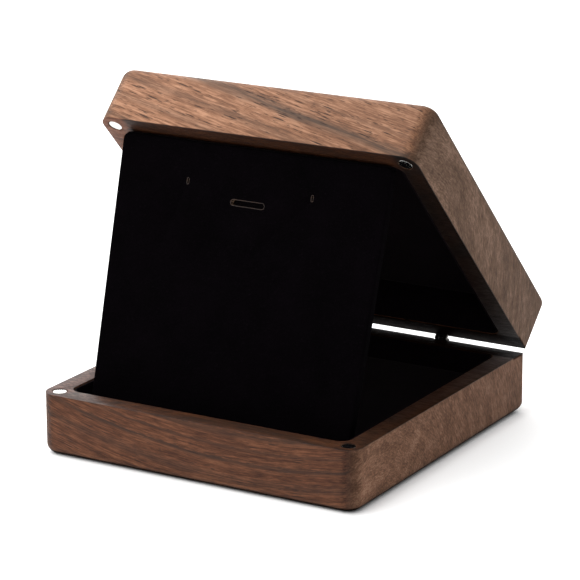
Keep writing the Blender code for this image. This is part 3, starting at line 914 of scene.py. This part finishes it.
def card_cover(look, cut_look):
    """Velvet wrapped over the front and the edges, its brown ground showing in the cuts, with a brown ring
    round each cut and along the back edge as painted sheen of the pile's edges.
    """
    low, high = corners("card_cover", "card")
    low.x, high.x = -CARD_HALF_WIDTH, CARD_HALF_WIDTH
    form = block_form(
        low, high, CARD_CORNER_RADIUS, CARD_EDGE_RADIUS, 1, CARD_CORNER_STEPS, CARD_EDGE_STEPS
    )
    piece = to_object("velvet_card_front", flared(form))
    pocket_low = Vector((low.x + CARD_COVER, low.y + CARD_COVER, low.z - CUT_OVERRUN))
    pocket_high = Vector((high.x - CARD_COVER, high.y - CARD_COVER, high.z - CARD_COVER))
    pocket_corner = CARD_CORNER_RADIUS - CARD_COVER
    pocket = block_form(pocket_low, pocket_high, pocket_corner, corner_steps=CARD_CORNER_STEPS)
    cut(piece, flared(pocket))
    cuts = card_cuts(piece, low, high)
    form = bmesh.new()
    form.from_mesh(piece.data)
    tolerance = CARD_COVER / 20

    def rings_a_cut(edge):
        on_face = all(abs(v.co.z - high.z) < tolerance for v in edge.verts)
        first, second = (cut_near(v.co, cuts) for v in edge.verts)
        beside_wall = any(abs(f.normal.z) < 0.5 for f in edge.link_faces)
        return on_face and first is not None and first == second and beside_wall

    # a brown ring round the front edge of each cut, painted sheen of the pile's cut edge
    front_edges = [e for e in form.edges if rings_a_cut(e)]
    round_edges(form, front_edges, CUT_EDGE, SMALL_STEPS, material=1)
    # the cut walls take the brown ground, and the back edge of the cover takes it as painted sheen
    for face in form.faces:
        centre = face.calc_center_median()
        inside_cut = cut_near(centre, cuts) is not None and abs(face.normal.z) < 0.5
        back_rim = all(abs(v.co.z - low.z) < tolerance for v in face.verts)
        if inside_cut or back_rim:
            face.material_index = 1
    form.to_mesh(piece.data)
    form.free()
    finish_piece(piece, "card", (look, cut_look), ("card_cover",))


def card_backing(look):
    """The velvet sheet glued over the card's back, with a soft rounded edge."""
    low, high = corners("card_backing", "card")
    low.x, high.x = low.y - CARD_HALF_WIDTH, CARD_HALF_WIDTH - low.y
    edge = (high.z - low.z) / 2
    form = block_form(low, high, CARD_CORNER_RADIUS / 2, edge, -1, SOFT_STEPS, BACKING_EDGE_STEPS)
    piece = to_object("velvet_card_back", flared(form))
    card_cuts(piece, low, high)
    finish_piece(piece, "card", look, ("card_backing",))


def screw(node, body, look):
    """A cheese-head screw with a cut slot, turned a little differently in each place."""
    low, high = corners(node, body)
    centre = (low + high) / 2
    radius = (high.x - low.x) / 2
    tip, under_head, face = (
        Vector((centre.x, y, centre.z)) for y in (low.y, high.y - SCREW_HEAD, high.y)
    )
    form = cylinder_form(radius, under_head, face, SCREW_SIDES)
    outer = [e for e in form.edges if all(abs(v.co.y - high.y) < radius / 50 for v in e.verts)]
    round_edges(form, outer, radius / 5, SMALL_STEPS)
    piece = to_object(f"slotted_{node}", form)
    shank = cylinder_form(SCREW_SHANK_RADIUS, tip, (under_head + face) / 2, SHANK_SIDES)
    cut(piece, shank, "shank", "UNION")
    slot_half = SCREW_SLOT_WIDTH / 2
    slot = block_form(
        Vector((-radius * SCREW_SLOT_REACH, high.y - SCREW_SLOT_DEPTH, -slot_half)),
        Vector((radius * SCREW_SLOT_REACH, high.y + CUT_OVERRUN, slot_half)),
    )
    angle = SCREW_ANGLE + centre.x * SCREW_ANGLE_STEPS[0] + centre.z * SCREW_ANGLE_STEPS[1]
    slot.transform(Matrix.Translation((centre.x, 0, centre.z)) @ Matrix.Rotation(angle, 4, "Y"))
    cut(piece, slot, "slot")
    finish_piece(piece, body, look, (node,))


def leaf_lip(side, look):
    """The curl of a lid leaf between its two knuckles, which hugs the base leaf's knuckle."""
    low, high = corners(f"lid_leaf_{side}", "lid")
    middle, back = (low.x + high.x) / 2, back_of("lid")
    lip_low = Vector((middle - LIP_HALF_WIDTH, back, LIP_FROM_AXIS[0]))
    lip_high = Vector((middle + LIP_HALF_WIDTH, back + LIP_DEPTH, LIP_FROM_AXIS[1]))
    piece = to_object(f"lip_lid_leaf_{side}", block_form(lip_low, lip_high))
    bore = [Vector((middle + way * 2 * LIP_HALF_WIDTH, 0, 0)) for way in (-1, 1)]
    cut(piece, cylinder_form(LIP_BORE_RADIUS, *bore))
    finish_piece(piece, "lid", look)


def dress(node, look):
    """Give a CAD node that stays as it is its finished material."""
    shown = frame["nodes"][node]
    shown.data.materials.clear()
    shown.data.materials.append(look)


# Build the pieces. A streak is its distance from the pith, its half width and its strength.

WOODS = {
    "base": {
        "tilt": 0.0694, "bend": -0.0024, "pith_y": -36.0, "pith_z": -20.0, "seed": 2.0,
        # painted_light_fade: painted light at the left end and painted shade at the right end, as factors
        "wander": 1.4, "ripple": 0.9, "contrast": 5.4, "end_contrast": 5.0, "painted_light_fade": (1.05, 0.95),
        "side_stops": (
            (0.05, srgb(52, 28, 16)), (0.42, srgb(76, 44, 27)),
            (0.58, srgb(84, 50, 31)), (0.95, srgb(108, 68, 45)),
        ),
        "end_stops": (
            (0.05, srgb(92, 66, 51)), (0.42, srgb(116, 84, 66)),
            (0.58, srgb(124, 91, 72)), (0.95, srgb(148, 113, 92)),
        ),
        "streak_colour": srgb(50, 37, 29), "pore_colour": srgb(40, 25, 17), "pore_low": 0.45,
        "long_pore": 0.50, "short_pore": 0.60, "long_strength": 0.7, "short_strength": 0.7,
        "streaks": (
            (27.7, 1.3, 0.4), (28.7, 0.8, 0.35), (32.4, 0.9, 0.8), (35.85, 0.8, 0.5), (39.5, 1.4, 0.6)
        ),
        # painted shade on the rims, painted light at their left ends and more painted shade at their right
        # ends
        "painted_rim_shade": (0.62, 0.60, 0.55, 1.0), "painted_left_rim_light": (0.80, 0.62, 0.50, 1.0), "painted_right_rim_shade": 0.85,
        # painted shade round the underside and at the upright corners
        "rim_gloss": 0.22, "painted_under_shade": 0.06, "painted_corner_shade": 0.50,
    },
    "lid": {
        "tilt": 0.23, "bend": 0.0, "pith_y": -78.0, "pith_z": -32.0, "seed": 11.0,
        # painted_light_fade: painted light at the left end and painted shade at the right end, as factors
        "wander": 1.6, "ripple": 1.0, "contrast": 4.6, "end_contrast": 4.8, "painted_light_fade": (1.14, 0.88),
        "side_stops": (
            (0.08, srgb(100, 68, 49)), (0.42, srgb(130, 90, 66)),
            (0.58, srgb(143, 101, 75)), (0.92, srgb(172, 127, 98)),
        ),
        "end_stops": (
            (0.05, srgb(84, 65, 53)), (0.42, srgb(104, 81, 66)),
            (0.58, srgb(112, 88, 73)), (0.95, srgb(136, 109, 92)),
        ),
        "streak_colour": srgb(80, 63, 52), "pore_colour": srgb(54, 35, 25), "pore_low": 0.40,
        "long_pore": 0.62, "short_pore": 0.60, "long_strength": 0.95, "short_strength": 0.75,
        "streaks": (
            (33.4, 1.4, 0.45), (38.4, 1.5, 0.45), (43.9, 1.8, 0.45), (50.1, 2.5, 1.0), (55.0, 1.0, 0.3)
        ),
        # painted shade on the rims, painted light at their left ends and more painted shade at their right
        # ends
        "painted_rim_shade": (0.10, 0.07, 0.05, 1.0), "painted_left_rim_light": (0.45, 0.31, 0.24, 1.0), "painted_right_rim_shade": 0.30,
        # painted shade at the upright corners; none round the underside
        "rim_gloss": 0.14, "painted_under_shade": 1.0, "painted_corner_shade": 0.32,
    },
}

# a velvet is its colour and its sheen; the card's is set darker and with less sheen as painted shade, and the
# trays' lighter as painted light
VELVETS = {
    "base": (srgb(8, 5, 7), 0.14), "lid": (srgb(8, 5, 7), 0.14), "card": (srgb(3, 2, 3), 0.015),
}

# a metal is its colour, its least and most roughness, its scratches' depth and their steps along x
NICKEL = (srgb(226, 226, 222), 0.10, 0.22, 0.000004, 1.0)
HINGE_STEEL = (srgb(58, 54, 50), 0.36, 0.56, 0.00001, 0.15)

brown_board = board("brown_board", "card")
cut_ground_and_edge_sheen = cut_weave("cut_ground_and_edge_sheen", "card")
velvets = {body: velvet(f"black_velvet_{body}", body, *look) for body, look in VELVETS.items()}
for body, up in (("base", 1), ("lid", -1)):
    nickel = metal(f"bright_nickel_{body}", body, *NICKEL)
    hinge_steel = metal(f"dark_hinge_steel_{body}", body, *HINGE_STEEL)
    shell(body, walnut(f"walnut_{body}_wood", body, WOODS[body]), up)
    lining(body, velvets[body])
    for side in ("left", "right"):
        magnet(f"{body}_magnet_{side}", body, nickel)
        dress(f"{body}_leaf_{side}", hinge_steel)
        for place in ("near", "far"):
            screw(f"{body}_screw_{side}_{place}", body, hinge_steel)
        if body == "base":
            dress(f"hinge_pin_{side}", hinge_steel)
        else:
            leaf_lip(side, hinge_steel)
pad("velvet_base_cushion", "base_cushion", "base", velvets["base"], 1, BASE_CUSHION_CROWN)
pad("velvet_lid_pad", "lid_pad", "lid", velvets["lid"], -1, LID_PAD_CROWN)
card_cover(velvets["card"], cut_ground_and_edge_sheen)
card_backing(velvets["card"])
dress("card_core", brown_board)


# Floor, light and camera

def direction(azimuth, elevation):
    """A unit vector to a place round the box: azimuth 0 is in front of it, 90 to its right."""
    a, e = math.radians(azimuth), math.radians(elevation)
    return Vector((math.sin(a) * math.cos(e), -math.cos(a) * math.cos(e), math.sin(e)))


def glow(tree, towards, azimuth, elevation, sharpness, strength):
    """Soft light from one side of the studio, as a smooth patch of the surroundings."""
    dot = tree.nodes.new("ShaderNodeVectorMath")
    dot.operation = "DOT_PRODUCT"
    tree.links.new(towards, dot.inputs[0])
    dot.inputs[1].default_value = direction(azimuth, elevation)
    nearness = maths(tree, "MAXIMUM", dot.outputs["Value"], 0.0)
    return maths(tree, "MULTIPLY", maths(tree, "POWER", nearness, sharpness), strength)


def studio():
    floor = to_object("floor", plain_grid(FLOOR_HALF))
    material, tree, shader = new_material("pale_floor")
    place, x, y, _ = body_millimetres(tree, "base")
    cloud = noise(tree, place, scale=FLOOR_CLOUD_SCALE, detail=2.0)
    low, high = ((value, value, value, 1.0) for value in (FLOOR_ALBEDO, FLOOR_ALBEDO + FLOOR_UNEVEN))
    tree.links.new(mix(tree, cloud, low, high), shader.inputs["Base Color"])
    shader.inputs["Roughness"].default_value = FLOOR_ROUGHNESS
    shader.inputs["Specular IOR Level"].default_value = FLOOR_GLOSS
    shader.inputs["Emission Color"].default_value = (1.0, 1.0, 1.0, 1.0)
    # painted contact shadow: the floor's glow fades out next to the box
    half = corners("base_shell", "base")[1] * MILLIMETRES
    beside = maths(tree, "SUBTRACT", maths(tree, "ABSOLUTE", x), half.x)
    before = maths(tree, "SUBTRACT", maths(tree, "ABSOLUTE", y), half.y)
    away = maths(tree, "MAXIMUM", beside, before)
    glow_with_painted_shadow = spread(tree, away, *FLOOR_GLOW_SHADOW_REACH, 0.0, FLOOR_GLOW)
    tree.links.new(glow_with_painted_shadow, shader.inputs["Emission Strength"])
    floor.data.materials.append(material)

    scene = bpy.context.scene
    scene.view_settings.view_transform = "Standard"
    world = bpy.data.worlds.new("studio")
    world.use_nodes = True
    tree = world.node_tree
    towards = tree.nodes.new("ShaderNodeTexCoord").outputs["Generated"]
    total = AMBIENT
    for patch in GLOWS:
        total = maths(tree, "ADD", glow(tree, towards, *patch), total)
    background = tree.nodes["Background"]
    background.inputs["Color"].default_value = (1.0, 1.0, 1.0, 1.0)
    tree.links.new(total, background.inputs["Strength"])
    scene.world = world

    key = bpy.data.objects.new("key", bpy.data.lights.new("key", "SUN"))
    key.data.energy = KEY_ENERGY
    key.data.angle = math.radians(KEY_ANGLE)
    key.rotation_mode = "QUATERNION"
    key.rotation_quaternion = direction(*KEY_FROM).to_track_quat("Z", "Y")
    scene.collection.objects.link(key)


def plain_grid(half):
    form = bmesh.new()
    bmesh.ops.create_grid(form, x_segments=1, y_segments=1, size=half)
    return form


def camera():
    backward = direction(CAMERA_AZIMUTH, CAMERA_ELEVATION)
    roll = math.radians(CAMERA_ROLL)
    level = Vector((0, 0, 1)).cross(backward).normalized()
    upward = backward.cross(level)
    right = math.cos(roll) * level + math.sin(roll) * upward
    top = -math.sin(roll) * level + math.cos(roll) * upward
    place = CAMERA_TARGET + backward * CAMERA_DISTANCE + right * CAMERA_SIDE_STEP + top * CAMERA_RISE
    view = bpy.data.objects.new("camera", bpy.data.cameras.new("camera"))
    view.data.lens = LENS_MM
    view.data.sensor_width = SENSOR_MM
    view.data.clip_start = 0.01
    view.matrix_world = Matrix.Translation(place) @ Matrix((right, top, backward)).transposed().to_4x4()
    bpy.context.scene.collection.objects.link(view)
    bpy.context.scene.camera = view


studio()
camera()
